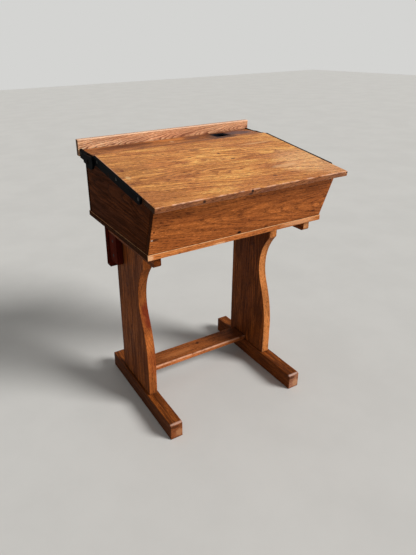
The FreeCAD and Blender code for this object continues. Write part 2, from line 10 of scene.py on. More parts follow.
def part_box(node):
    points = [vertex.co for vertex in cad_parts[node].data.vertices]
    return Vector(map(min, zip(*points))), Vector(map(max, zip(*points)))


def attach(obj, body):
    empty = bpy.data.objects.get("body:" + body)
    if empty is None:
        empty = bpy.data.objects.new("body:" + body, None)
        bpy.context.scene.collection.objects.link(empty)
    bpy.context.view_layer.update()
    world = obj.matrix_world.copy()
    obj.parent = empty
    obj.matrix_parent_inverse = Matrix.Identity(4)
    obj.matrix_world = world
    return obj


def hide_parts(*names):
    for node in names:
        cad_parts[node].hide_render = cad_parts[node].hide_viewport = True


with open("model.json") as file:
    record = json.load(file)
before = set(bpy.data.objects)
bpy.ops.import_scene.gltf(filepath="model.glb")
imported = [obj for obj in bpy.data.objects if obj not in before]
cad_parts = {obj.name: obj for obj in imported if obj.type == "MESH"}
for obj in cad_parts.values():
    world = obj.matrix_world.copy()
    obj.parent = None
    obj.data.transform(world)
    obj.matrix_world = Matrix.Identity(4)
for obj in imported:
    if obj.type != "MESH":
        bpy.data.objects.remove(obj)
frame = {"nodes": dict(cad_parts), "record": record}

scene = bpy.context.scene
cadNodes = frame["nodes"]
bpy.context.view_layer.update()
print("frame loaded:", len(cadNodes), "nodes")


def tint(red, green, blue):  # 0-255 as a paint chart gives it, to linear light
    def channel(value):
        share = value / 255
        return share / 12.92 if share <= 0.04045 else ((share + 0.055) / 1.055) ** 2.4
    return (channel(red), channel(green), channel(blue), 1.0)


def middle(nodeName):
    low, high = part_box(nodeName)
    return (low + high) / 2


# small helpers for shader nodes

def addNode(tree, kind, inputs=None, **settings):  # an input is another node's output or a plain value
    node = tree.nodes.new(kind)
    for key, value in settings.items():
        setattr(node, key, value)
    for key, value in (inputs or {}).items():
        if isinstance(value, bpy.types.NodeSocket):
            tree.links.new(value, node.inputs[key])
        else:
            node.inputs[key].default_value = value
    return node


def calc(tree, operation, first, second=0.0, third=0.0, clamp=False):
    inputs = {0: first, 1: second, 2: third}
    return addNode(tree, "ShaderNodeMath", inputs, operation=operation, use_clamp=clamp).outputs[0]


def vectorCalc(tree, operation, first, second=(0.0, 0.0, 0.0)):
    node = addNode(tree, "ShaderNodeVectorMath", {0: first, 1: second}, operation=operation)
    return node.outputs["Value" if operation in ("DOT_PRODUCT", "LENGTH") else "Vector"]


def fade(tree, value, low, high, start=0.0, end=1.0):  # start up to low, end from high on
    inputs = {"Value": value, "From Min": low, "From Max": high, "To Min": start, "To Max": end}
    return addNode(tree, "ShaderNodeMapRange", inputs, interpolation_type="SMOOTHSTEP").outputs[0]


def blendColours(tree, factor, first, second, mode="MIX"):
    return addNode(tree, "ShaderNodeMix", {0: factor, 6: first, 7: second}, data_type="RGBA",
                   blend_type=mode, clamp_factor=True, clamp_result=True).outputs[2]


def layOver(tree, colour, mask, amount, coat):  # a coat of another colour where the mask is
    return blendColours(tree, calc(tree, "MULTIPLY", mask, amount), colour, coat)


def shade(tree, colour, gain):
    return blendColours(tree, 1.0, colour, gain, "MULTIPLY")


def roughNoise(tree, vector, scale, detail=2.0, roughness=0.5):
    inputs = {"Vector": vector, "Scale": scale, "Detail": detail, "Roughness": roughness}
    return addNode(tree, "ShaderNodeTexNoise", inputs).outputs["Fac"]


def addBump(tree, shader, height, strength, distance):
    bump = addNode(tree, "ShaderNodeBump", {"Height": height, "Strength": strength, "Distance": distance})
    tree.links.new(bump.outputs[0], shader.inputs["Normal"])


def startMaterial(name):
    made = bpy.data.materials.new(name)
    made.use_nodes = True
    tree = made.node_tree
    return made, tree, tree.nodes["Principled BSDF"], addNode(tree, "ShaderNodeTexCoord").outputs


def dress(target, material):
    target.data.materials.clear()
    target.data.materials.append(material)


def startGroup(name, inputs, outputs):  # inputs gives each socket's usual value, a number or a vector
    group = bpy.data.node_groups.new(name, "ShaderNodeTree")
    for label, value in inputs.items():
        kind = "NodeSocketVector" if isinstance(value, tuple) else "NodeSocketFloat"
        group.interface.new_socket(label, in_out="INPUT", socket_type=kind).default_value = value
    for label in outputs:
        group.interface.new_socket(label, in_out="OUTPUT", socket_type="NodeSocketFloat")
    return group, group.nodes.new("NodeGroupInput").outputs, group.nodes.new("NodeGroupOutput").inputs


def useGroup(tree, name, inputs, label=""):
    return addNode(tree, "ShaderNodeGroup", inputs, node_tree=effects[name], label=label).outputs


# effects that several finishes share

ringShape = {
    "steps": ((0.1, 1.0), (0.3, 0.5), (0.6, 0.08), (0.86, 0.0)),  # place in a ring and its darkness there
    "join": 0.25, "uneven": 2.6, "unevenScale": 0.31, "wanderScale": (4.5, 11.0, 11.0), "clearShare": 0.35}
grainLayers = {  # blotches per metre along and across the grain, and the noise level that they fade in at
    "strokes": {"along": 75.0, "across": 520.0, "detail": 3.0, "roughness": 0.62, "low": 0.51,
                "high": 0.6, "inRings": (0.0, 0.6)},
    "pores": {"along": 85.0, "across": 1500.0, "detail": 1.0, "roughness": 0.5, "low": 0.54,
              "high": 0.68, "inRings": (0.1, 0.8)},
    "streaks": {"along": 7.0, "across": 95.0, "detail": 4.0, "roughness": 0.65, "low": 0.42, "high": 0.6},
    "flecks": {"along": 120.0, "across": 420.0, "detail": 2.0, "roughness": 0.6, "low": 0.5, "high": 0.62},
    "patches": {"along": 5.0, "across": 17.0, "detail": 3.0, "roughness": 0.6, "low": 0.38, "high": 0.6}}
cornerShape = {"flat": 0.01, "sharp": 0.16, "share": 0.3, "softness": 0.12}  # corners that nobody rounded
# how the painted shade in sheltered places fades in, and the dust noise that breaks it up
creviceShadeShape = {"open": 0.15, "sheltered": 0.8, "dustLevels": (0.2, 0.6), "thinShare": 0.35}
markShape = {"solid": 0.55, "gone": 1.1, "rimScale": 1.6}  # shares of its size


def buildWoodGrain():
    # the vector runs along the grain in X; the tree's pith is its X axis
    group, given, result = startGroup(
        "woodGrain", {"vector": (0.0, 0.0, 0.0), "ringWidth": 0.003, "wander": 0.012},
        ("rings", "strokes", "pores", "streaks", "patches", "flecks"))
    vector = given["vector"]
    wave = addNode(group, "ShaderNodeTexNoise",
                   {"Vector": vectorCalc(group, "MULTIPLY", vector, ringShape["wanderScale"]),
                    "Scale": 1.0, "Detail": 4.0, "Roughness": 0.62}).outputs["Color"]
    wave = vectorCalc(group, "SUBTRACT", wave, (0.5, 0.5, 0.5))
    bent = vectorCalc(group, "ADD", vector, vectorCalc(group, "MULTIPLY", wave, given["wander"]))
    radius = vectorCalc(group, "LENGTH", vectorCalc(group, "MULTIPLY", bent, (0.0, 1.0, 1.0)))
    count = calc(group, "DIVIDE", radius, given["ringWidth"])
    uneven = addNode(group, "ShaderNodeTexNoise",
                     {"W": calc(group, "MULTIPLY", count, ringShape["unevenScale"]), "Scale": 1.0,
                      "Detail": 1.0}, noise_dimensions="1D").outputs["Fac"]
    count = calc(group, "MULTIPLY_ADD", uneven, ringShape["uneven"], count)
    ramp = addNode(group, "ShaderNodeValToRGB", {0: calc(group, "FRACT", count)})
    stops = ramp.color_ramp.elements
    for stop in stops:
        stop.color = [ringShape["join"]] * 3 + [1.0]
    for position, value in ringShape["steps"]:
        stops.new(position).color = [value] * 3 + [1.0]
    masks = {"rings": ramp.outputs[0]}
    for name, layer in grainLayers.items():
        along, across = layer["along"], layer["across"]
        source = vectorCalc(group, "MULTIPLY", vector if name == "patches" else bent, (along, across, across))
        level = roughNoise(group, source, 1.0, detail=layer["detail"], roughness=layer["roughness"])
        masks[name] = fade(group, level, layer["low"], layer["high"])
        if "inRings" in layer:  # strokes and pores crowd the dark of a ring
            crowd = fade(group, masks["rings"], *layer["inRings"], ringShape["clearShare"], 1.0)
            masks[name] = calc(group, "MULTIPLY", masks[name], crowd)
    for label, mask in masks.items():
        group.links.new(mask, result[label])
    return group


def buildEdgeWear():
    # reach is the width of the wear in metres, breakup its blotches per metre, cover its share
    group, given, result = startGroup(
        "edgeWear", {"vector": (0.0, 0.0, 0.0), "reach": 0.003, "breakup": 60.0, "cover": 0.5}, ("mask",))
    soft = addNode(group, "ShaderNodeBevel", {"Radius": given["reach"]}, samples=6).outputs[0]
    hard = addNode(group, "ShaderNodeNewGeometry").outputs["Normal"]
    bend = calc(group, "SUBTRACT", 1.0, vectorCalc(group, "DOT_PRODUCT", soft, hard))
    corner = fade(group, bend, cornerShape["flat"], cornerShape["sharp"], 0.0, cornerShape["share"])
    onArris = addNode(group, "ShaderNodeAttribute", attribute_name="onArris").outputs["Fac"]
    scuffs = roughNoise(group, given["vector"], given["breakup"], detail=4.0, roughness=0.6)
    limit = calc(group, "SUBTRACT", 1.0, given["cover"])
    scuffs = fade(group, scuffs, calc(group, "SUBTRACT", limit, cornerShape["softness"]),
                  calc(group, "ADD", limit, cornerShape["softness"]))
    edge = calc(group, "MAXIMUM", corner, onArris)
    group.links.new(calc(group, "MULTIPLY", edge, scuffs, clamp=True), result["mask"])
    return group


# painted shade: darkens sheltered corners, joints and hollows by ambient occlusion, broken up by dust noise
def buildCreviceShade():
    group, given, result = startGroup(
        "creviceShade", {"vector": (0.0, 0.0, 0.0), "reach": 0.02, "breakup": 30.0}, ("mask",))
    shelter = addNode(group, "ShaderNodeAmbientOcclusion", {"Distance": given["reach"]}, samples=6)
    dark = calc(group, "SUBTRACT", 1.0, shelter.outputs["AO"])
    dark = fade(group, dark, creviceShadeShape["open"], creviceShadeShape["sheltered"])
    dust = roughNoise(group, given["vector"], given["breakup"], detail=3.0, roughness=0.6)
    dust = fade(group, dust, *creviceShadeShape["dustLevels"], creviceShadeShape["thinShare"], 1.0)
    group.links.new(calc(group, "MULTIPLY", dark, dust), result["mask"])
    return group


def buildMark():
    # a round or drawn-out mark, soft at its rim
    group, given, result = startGroup(
        "mark", {"vector": (0.0, 0.0, 0.0), "centre": (0.0, 0.0, 0.0), "size": (0.005, 0.005, 0.005),
                 "ragged": 0.4}, ("mask",))
    offset = vectorCalc(group, "SUBTRACT", given["vector"], given["centre"])
    offset = vectorCalc(group, "DIVIDE", offset, given["size"])
    rim = roughNoise(group, offset, markShape["rimScale"], detail=3.0, roughness=0.6)
    rim = calc(group, "SUBTRACT", rim, 0.5)
    away = calc(group, "MULTIPLY_ADD", rim, given["ragged"], vectorCalc(group, "LENGTH", offset))
    group.links.new(fade(group, away, markShape["solid"], markShape["gone"], 1.0, 0.0), result["mask"])
    return group


effects = {"woodGrain": buildWoodGrain(), "edgeWear": buildEdgeWear(), "creviceShade": buildCreviceShade(),
           "mark": buildMark()}
print("shared effects:", ", ".join(effects))


# what each kind of wood on the desk looks like: its colours, how strongly each layer of the grain
# shows, the share of the arrises that shows pale, as wear and painted highlight, how dark sawn ends are, and
# its varnish
woodLooks = {
    "lidOak": {
        "light": tint(250, 172, 88), "dark": tint(150, 82, 36), "warm": tint(190, 110, 56),
        "stroke": tint(80, 38, 11), "pore": tint(70, 34, 12), "paleEdge": tint(226, 176, 146),
        "rings": 0.8, "strokes": 0.95, "streaks": 0.45, "flecks": 0.85, "patches": 0.66,
        "worn": 0.47, "endTone": 0.07, "roughness": 0.46, "coat": 0.03, "specular": 0.14, "creviceShade": 0.7},
    "boxOak": {
        "light": tint(189, 107, 48), "dark": tint(114, 57, 22), "warm": tint(145, 74, 32),
        "stroke": tint(70, 31, 11), "pore": tint(56, 25, 9), "paleEdge": tint(196, 130, 78),
        "rings": 0.38, "strokes": 0.85, "streaks": 0.5, "flecks": 0.7, "patches": 0.5,
        "worn": 0.45, "endTone": 0.12, "roughness": 0.46, "coat": 0.0, "specular": 0.06, "creviceShade": 0.9},
    # painted shade: a darkened copy of the box oak, for the box's sides and back
    "shadedSideOak": {
        "light": tint(92, 44, 13), "dark": tint(38, 15, 3), "warm": tint(66, 29, 8),
        "stroke": tint(32, 13, 5), "pore": tint(28, 12, 5), "paleEdge": tint(112, 62, 32),
        "rings": 0.8, "strokes": 0.55, "streaks": 0.55, "flecks": 0.3, "patches": 0.6,
        "worn": 0.3, "endTone": 0.5, "roughness": 0.55, "coat": 0.0, "specular": 0.01, "creviceShade": 0.9},
    "bottomOak": {
        "light": tint(210, 130, 68), "dark": tint(142, 74, 30), "warm": tint(170, 90, 42),
        "stroke": tint(88, 42, 16), "pore": tint(70, 34, 13), "paleEdge": tint(242, 186, 134),
        "rings": 0.5, "strokes": 0.75, "streaks": 0.5, "flecks": 0.5, "patches": 0.5,
        "worn": 0.6, "endTone": 0.08, "roughness": 0.5, "coat": 0.0, "specular": 0.06, "creviceShade": 0.9},
    "shelfOak": {
        "light": tint(216, 136, 70), "dark": tint(112, 58, 28), "warm": tint(106, 59, 40),
        "stroke": tint(62, 31, 18), "pore": tint(50, 26, 15), "paleEdge": tint(200, 142, 96),
        "rings": 0.6, "strokes": 0.75, "streaks": 0.8, "flecks": 0.4, "patches": 0.8,
        "worn": 0.4, "endTone": 0.3, "roughness": 0.46, "coat": 0.03, "specular": 0.12, "creviceShade": 1.0},
    # the upstand's own pale oak, lightened in part with painted varnish reflection
    "upstandOak": {
        "light": tint(255, 194, 143), "dark": tint(112, 51, 29), "warm": tint(240, 158, 110),
        "stroke": tint(104, 50, 30), "pore": tint(84, 40, 24), "paleEdge": tint(248, 206, 172),
        "rings": 1.0, "strokes": 0.55, "streaks": 0.35, "flecks": 0.7, "patches": 0.35,
        "worn": 0.7, "endTone": 0.16, "roughness": 0.44, "coat": 0.05, "specular": 0.2, "creviceShade": 0.8},
    "standOak": {
        "light": tint(150, 80, 30), "dark": tint(66, 30, 10), "warm": tint(104, 50, 18),
        "stroke": tint(48, 21, 8), "pore": tint(40, 18, 7), "paleEdge": tint(226, 170, 136),
        "rings": 0.75, "strokes": 0.85, "streaks": 0.65, "flecks": 0.6, "patches": 0.6,
        "worn": 0.45, "endTone": 0.8, "roughness": 0.5, "coat": 0.02, "specular": 0.05, "creviceShade": 0.9},
    # painted shade: a dark red-brown oak, darkened for the shade under the box, for the rear rail and cleats
    "shadedRailOak": {
        "light": tint(92, 28, 12), "dark": tint(48, 12, 5), "warm": tint(70, 19, 8),
        "stroke": tint(32, 8, 4), "pore": tint(26, 8, 4), "paleEdge": tint(108, 52, 30),
        "rings": 0.55, "strokes": 0.55, "streaks": 0.5, "flecks": 0.3, "patches": 0.5,
        "worn": 0.3, "endTone": 0.6, "roughness": 0.55, "coat": 0.0, "specular": 0.01, "creviceShade": 0.9},
    "rawOak": {
        "light": tint(192, 152, 108), "dark": tint(144, 104, 66), "warm": tint(162, 120, 80),
        "stroke": tint(104, 72, 46), "pore": tint(90, 60, 38), "paleEdge": tint(200, 166, 124),
        "rings": 0.5, "strokes": 0.6, "streaks": 0.45, "flecks": 0.35, "patches": 0.55,
        "worn": 0.3, "endTone": 0.7, "roughness": 0.7, "coat": 0.0, "specular": 0.15, "creviceShade": 0.9}}

oakFinish = {  # what all the oak shares; depths are shares, the other lengths are metres
    "ringWidth": 0.0035, "wander": 0.012,  # of a board that gives none of its own
    "sidePatches": 0.7, "fleckPatches": 0.4, "strokeClear": 0.6,  # how far the patches weaken a layer
    "fleckGlow": (1.6, 1.7, 2.1, 1.0), "poreDepth": 0.8, "endWarmth": (1.0, 0.92, 0.85),
    "facing": (0.7, 0.92), "upward": (-0.2, 0.5), "endwise": (0.2, 0.6),  # cosines that masks fade between
    "paleEdgeDepth": 0.75, "wearReach": 0.003, "wearBreakup": 45.0, "undersidePaleEdge": 0.2, "sawnEndWear": 0.35,
    # the colour and reach of the painted shade with dust in sheltered places
    "shadeAndDirt": tint(30, 16, 9), "shadeAndDirtReach": 0.012,
    "dulledBy": {"streaks": 0.1, "pores": 0.2, "sawnEnd": 0.5, "paleEdge": 0.2, "shadeAndDirt": 0.2},
    "relief": {"rings": -0.3, "strokes": -0.6, "pores": -1.0}, "bump": 0.35, "bumpDepth": 0.0005,
    "coatRoughness": 0.24}
gluedSeam = {"within": 0.0002, "width": 0.0008, "depth": 0.35, "unworn": 0.004, "unwornFrom": 0.006}
grainTurns = {"x": (0, 0, 0), "y": (0, 0, -90), "z": (0, 90, 0)}  # degrees that lay the grain along X
grainAxes = {"x": Vector((1, 0, 0)), "y": Vector((0, 1, 0)), "z": Vector((0, 0, 1))}


def facingMask(tree, normal, direction):
    level = vectorCalc(tree, "DOT_PRODUCT", normal, Vector(direction).normalized())
    return fade(tree, level, *oakFinish["facing"])


def acrossPatches(tree, grain, clear, patchy):  # one value in clear wood, another in its patches
    return fade(tree, grain["patches"], 0.0, 1.0, clear, patchy)


def gluedJoint(nodeName, board):
    # the flat face glued to the next board: its direction and how far out it lies
    direction = Vector(board["glued"])
    return direction, max(direction.dot(vert.co) for vert in cadNodes[nodeName].data.vertices)


def paintMarks(tree, where, origin, colour, marks):
    for label, mark in marks.items():
        spot = useGroup(tree, "mark", {"vector": where["Object"], "centre": origin + Vector(mark["at"]),
                                       "size": mark["size"], "ragged": mark["ragged"]}, label)["mask"]
        colour = layOver(tree, colour, spot, mark["depth"], mark["colour"])
    return colour


def grainColour(tree, where, origin, grain, look, board):
    colour = layOver(tree, look["light"], grain["rings"], look["rings"], look["dark"])
    colour = layOver(tree, colour, grain["patches"], look["patches"], look["warm"])
    colour = layOver(tree, colour, grain["streaks"], look["streaks"], look["dark"])
    colour = paintMarks(tree, where, origin, colour, board.get("tones", {}))
    for side in board.get("sides", ()):
        mask = facingMask(tree, where["Normal"], side["facing"])
        amount = acrossPatches(tree, grain, side["amount"], oakFinish["sidePatches"] * side["amount"])
        colour = layOver(tree, colour, mask, amount, side["tone"])
    glow = acrossPatches(tree, grain, look["flecks"], oakFinish["fleckPatches"] * look["flecks"])
    colour = layOver(tree, colour, grain["flecks"], glow, shade(tree, colour, oakFinish["fleckGlow"]))
    depth = acrossPatches(tree, grain, oakFinish["strokeClear"] * look["strokes"], look["strokes"])
    colour = layOver(tree, colour, grain["strokes"], depth, look["stroke"])
    return layOver(tree, colour, grain["pores"], oakFinish["poreDepth"], look["pore"])


def arrisWearAndHighlight(tree, where, local, axis, cover):
    # painted highlight: pale arrises show mostly on upward faces, where the light falls, with a small share
    # left on undersides; the arrises of sawn ends hardly wear pale
    paleEdge = useGroup(tree, "edgeWear", {"vector": local, "reach": oakFinish["wearReach"],
                                       "breakup": oakFinish["wearBreakup"], "cover": cover})["mask"]
    upward = vectorCalc(tree, "DOT_PRODUCT", where["Normal"], grainAxes["z"])
    litFromAbove = fade(tree, upward, *oakFinish["upward"], oakFinish["undersidePaleEdge"], 1.0)
    endwise = calc(tree, "ABSOLUTE", vectorCalc(tree, "DOT_PRODUCT", where["Normal"], axis))
    sideways = fade(tree, endwise, *oakFinish["endwise"], 1.0, oakFinish["sawnEndWear"])
    return calc(tree, "MULTIPLY", calc(tree, "MULTIPLY", paleEdge, litFromAbove), sideways)


def closeSeam(tree, place, joint, paleEdge, colour, line):
    # the face glued to the next board shows as a fine dark line and doesn't wear
    direction, reach = joint
    level = vectorCalc(tree, "DOT_PRODUCT", place, direction)
    unworn = fade(tree, level, reach - gluedSeam["unwornFrom"], reach - gluedSeam["unworn"], 1.0, 0.0)
    seam = fade(tree, level, reach - gluedSeam["width"], reach - gluedSeam["within"], 0.0, gluedSeam["depth"])
    return calc(tree, "MULTIPLY", paleEdge, unworn), blendColours(tree, seam, colour, line)


def woodMaterial(nodeName, board):
    made, tree, shader, where = startMaterial(nodeName + "_oak")
    look = woodLooks[board["look"]]
    axis = grainAxes[board["along"]]
    turn = [math.radians(a + b) for a, b in zip(grainTurns[board["along"]], board.get("tilt", (0, 0, 0)))]
    pith = middle(nodeName) + Vector(board["pith"])
    local = addNode(tree, "ShaderNodeMapping", {"Vector": where["Object"], "Rotation": turn,
                                                "Location": -(Euler(turn).to_matrix() @ pith)}).outputs[0]
    grain = useGroup(tree, "woodGrain", {"vector": local,
                                         "ringWidth": board.get("ringWidth", oakFinish["ringWidth"]),
                                         "wander": board.get("wander", oakFinish["wander"])})
    marksFrom = middle(board.get("marksFrom", nodeName))
    colour = grainColour(tree, where, marksFrom, grain, look, board)
    paleEdge = arrisWearAndHighlight(tree, where, local, axis, board.get("worn", look["worn"]))
    if "glued" in board:
        joint = gluedJoint(nodeName, board)
        paleEdge, colour = closeSeam(tree, where["Object"], joint, paleEdge, colour, look["pore"])
    # pale arrises: partly real wear, partly painted highlight on upward faces
    colour = layOver(tree, colour, paleEdge, oakFinish["paleEdgeDepth"], look["paleEdge"])
    colour = paintMarks(tree, where, marksFrom, colour, board.get("marks", {}))
    sawnEnd = calc(tree, "MAXIMUM", facingMask(tree, where["Normal"], axis),
                   facingMask(tree, where["Normal"], -axis))
    endGain = [look["endTone"] * part for part in oakFinish["endWarmth"]] + [1.0]
    colour = blendColours(tree, sawnEnd, colour, shade(tree, colour, endGain))
    # painted shade with dust: sheltered corners and joints take a dark colour
    shadeAndDirt = useGroup(tree, "creviceShade", {"vector": local, "reach": oakFinish["shadeAndDirtReach"]})["mask"]
    shadeAndDirt = calc(tree, "MULTIPLY", shadeAndDirt, look["creviceShade"])
    colour = blendColours(tree, shadeAndDirt, colour, oakFinish["shadeAndDirt"])
    tree.links.new(colour, shader.inputs["Base Color"])

    masks = {"streaks": grain["streaks"], "pores": grain["pores"], "sawnEnd": sawnEnd, "paleEdge": paleEdge,
             "shadeAndDirt": shadeAndDirt}
    roughness = look["roughness"]
    for name, amount in oakFinish["dulledBy"].items():
        roughness = calc(tree, "MULTIPLY_ADD", masks[name], amount, roughness, clamp=True)
    tree.links.new(roughness, shader.inputs["Roughness"])
    shader.inputs["Coat Weight"].default_value = look["coat"]
    shader.inputs["Coat Roughness"].default_value = oakFinish["coatRoughness"]
    shader.inputs["Specular IOR Level"].default_value = look["specular"]
    height = 0.0
    for layer, depth in oakFinish["relief"].items():
        height = calc(tree, "MULTIPLY_ADD", grain[layer], depth, height)
    addBump(tree, shader, height, oakFinish["bump"], oakFinish["bumpDepth"])
    return made


# each board is a worn copy of its CAD solid, with its own cut of the tree; metres and degrees

arris = {"width": 0.0012, "segments": 3, "shortest": 0.011, "sharpOver": 50,
         "stripWidth": 0.0006, "stripLength": 0.03,  # an edge that the joiner rounded is such strips
         "step": 0.013, "stepShares": (0.6, 1.4), "worn": 0.0005, "wornPerMetre": 38, "wornOver": -0.3,
         "chip": 0.0012, "chipsPerMetre": 90, "chipOver": 0.35, "shadeOver": 38,
         "mergeWithin": 0.00001, "flatWithin": 0.6, "cutWithin": 0.00005}


def isGlued(edge, joint):
    # an edge on the flat face that is glued to the neighbour stays sharp
    if joint is None:
        return False
    direction, reach = joint
    return all(direction.dot(vert.co) > reach - gluedSeam["within"] for vert in edge.verts)


def roundArrises(mesh, onArris, joint, width):
    for face in mesh.faces:
        reach = max(edge.calc_length() for edge in face.edges)
        if reach > arris["stripLength"] and face.calc_area() / reach < arris["stripWidth"]:
            face[onArris] = 1.0
    sharpOver = math.radians(arris["sharpOver"])
    edges = [edge for edge in mesh.edges
             if len(edge.link_faces) == 2 and edge.calc_length() > arris["shortest"]
             and edge.calc_face_angle(0) > sharpOver and not isGlued(edge, joint)]
    rounded = bmesh.ops.bevel(mesh, geom=edges, offset=width, offset_type="OFFSET", affect="EDGES",
                              segments=arris["segments"], profile=0.5, material=-1, clamp_overlap=False)
    for face in rounded["faces"]:
        face[onArris] = 1.0


def cutAcross(mesh, axis, seed):  # uneven cuts through the board, so that its arrises can be dented
    spots = [axis.dot(vert.co) for vert in mesh.verts]
    dice = random.Random(seed)
    place, last = min(spots) + arris["step"], max(spots) - arris["step"] / 2
    while place < last:
        bmesh.ops.bisect_plane(mesh, geom=mesh.verts[:] + mesh.edges[:] + mesh.faces[:],
                               dist=arris["cutWithin"], plane_co=axis * place, plane_no=axis)
        place += arris["step"] * dice.uniform(*arris["stepShares"])


def dentArrises(mesh, onArris, seed):
    mesh.normal_update()
    shifts = []
    for vert in mesh.verts:
        if vert.link_faces and all(face[onArris] for face in vert.link_faces):
            rub = noise.noise(vert.co * arris["wornPerMetre"] + Vector((seed, 0, 0))) - arris["wornOver"]
            chip = noise.noise(vert.co * arris["chipsPerMetre"] + Vector((0, seed, 0))) - arris["chipOver"]
            depth = arris["worn"] * max(0.0, rub) + arris["chip"] * max(0.0, chip)
            shifts.append((vert, vert.normal * -depth))
    for vert, shift in shifts:
        vert.co += shift


def wornBoard(nodeName, board, seed):
    mesh = bmesh.new()
    mesh.from_mesh(cadNodes[nodeName].data)
    onArris = mesh.faces.layers.float.new("onArris")
    bmesh.ops.remove_doubles(mesh, verts=mesh.verts, dist=arris["mergeWithin"])
    bmesh.ops.dissolve_limit(mesh, angle_limit=math.radians(arris["flatWithin"]), verts=mesh.verts,
                             edges=mesh.edges)
    joint = gluedJoint(nodeName, board) if "glued" in board else None
    roundArrises(mesh, onArris, joint, board.get("arris", arris["width"]))
    cutAcross(mesh, grainAxes[board["along"]], seed)
    dentArrises(mesh, onArris, seed)
    bmesh.ops.triangulate(mesh, faces=[face for face in mesh.faces if len(face.verts) > 4])
    data = bpy.data.meshes.new(nodeName + "_worn")
    mesh.to_mesh(data)
    mesh.free()
    data.polygons.foreach_set("use_smooth", [True] * len(data.polygons))
    data.set_sharp_from_angle(angle=math.radians(arris["shadeOver"]))
    piece = bpy.data.objects.new(nodeName + "_worn", data)
    scene.collection.objects.link(piece)
    piece.modifiers.new("evenShading", "WEIGHTED_NORMAL").keep_sharp = True
    return piece


# a board's pith is its tree's middle, in metres from its own; tilt, the degrees that its grain runs out;
# sides, its faces of another tone; glued, the way to the board beside it; marks lie in metres from its
# middle, and tones are broad marks under the grain

rawInside = tint(176, 136, 96)
lidSlope = math.radians(8.2)  # the closed lid falls to the front
lidFall = Vector((0, math.cos(lidSlope), math.sin(lidSlope)))  # up the lid, to its back
lidUnder = Vector((0, math.sin(lidSlope), -math.cos(lidSlope)))
lidMarks = {  # from the middle of the front board, and on over the rear one
    "knotLeft": {"at": (-0.267, 0.1251, 0.0258), "size": (0.007, 0.008, 0.006),
                 "colour": tint(104, 44, 20), "depth": 0.9, "ragged": 0.4},
    "paleScuffLeft": {"at": (-0.272, 0.0781, 0.0188), "size": (0.007, 0.012, 0.006),
                      "colour": tint(226, 186, 130), "depth": 0.6, "ragged": 0.9},
    "knotMiddle": {"at": (0.036, 0.1441, 0.0278), "size": (0.005, 0.006, 0.006),
                   "colour": tint(70, 30, 16), "depth": 0.9, "ragged": 0.4},
    "darkDash": {"at": (0.053, 0.0971, 0.0218), "size": (0.009, 0.004, 0.006),
                 "colour": tint(70, 30, 16), "depth": 0.9, "ragged": 0.4},
    "knotFront": {"at": (0.083, -0.0469, 0.0008), "size": (0.008, 0.006, 0.006),
                  "colour": tint(96, 48, 26), "depth": 0.8, "ragged": 0.4},
    "edgeHoleLeft": {"at": (-0.162, -0.0959, -0.0142), "size": (0.005, 0.004, 0.005),
                     "colour": tint(40, 20, 14), "depth": 0.9, "ragged": 0.4},
    "edgeHole": {"at": (-0.026, -0.0959, -0.0104), "size": (0.004, 0.004, 0.004),
                 "colour": tint(20, 12, 10), "depth": 1.0, "ragged": 0.4},
    "edgeHoleStain": {"at": (-0.03, -0.0959, -0.0167), "size": (0.008, 0.004, 0.004),
                      "colour": tint(60, 30, 22), "depth": 0.8, "ragged": 0.4},
    "paleRubFront": {"at": (0.155, 0.0021, 0.0068), "size": (0.05, 0.012, 0.006),
                     "colour": tint(238, 190, 138), "depth": 0.4, "ragged": 1.2},
    "brownBlotch": {"at": (-0.014, 0.1941, 0.0358), "size": (0.022, 0.008, 0.006),
                    "colour": tint(116, 58, 30), "depth": 0.7, "ragged": 0.9},
    "rearBlotch": {"at": (0.077, 0.2351, 0.0413), "size": (0.018, 0.005, 0.006),
                   "colour": tint(130, 70, 40), "depth": 0.6, "ragged": 0.8},
    "paleRubRear": {"at": (0.19, 0.1821, 0.0338), "size": (0.07, 0.006, 0.006),
                    "colour": tint(240, 190, 130), "depth": 0.45, "ragged": 1.2}}
lidTones = {
    "dullLeftEnd": {"at": (-0.25, 0.0421, 0.0128), "size": (0.1, 0.16, 0.06),
                    "colour": tint(148, 92, 42), "depth": 0.3, "ragged": 0.8},
    "dullRearLeft": {"at": (-0.26, 0.1621, 0.0308), "size": (0.1, 0.1, 0.05),
                     "colour": tint(146, 94, 44), "depth": 0.25, "ragged": 0.8},
    "brownMiddle": {"at": (-0.05, 0.0521, 0.0148), "size": (0.14, 0.05, 0.03),
                    "colour": tint(150, 84, 36), "depth": 0.3, "ragged": 1.0},
    # painted sheen: a pale patch over the lid's right end
    "sheenRightEnd": {"at": (0.27, 0.0121, 0.0028), "size": (0.14, 0.12, 0.06),
                      "colour": tint(246, 186, 132), "depth": 0.42, "ragged": 0.8}}
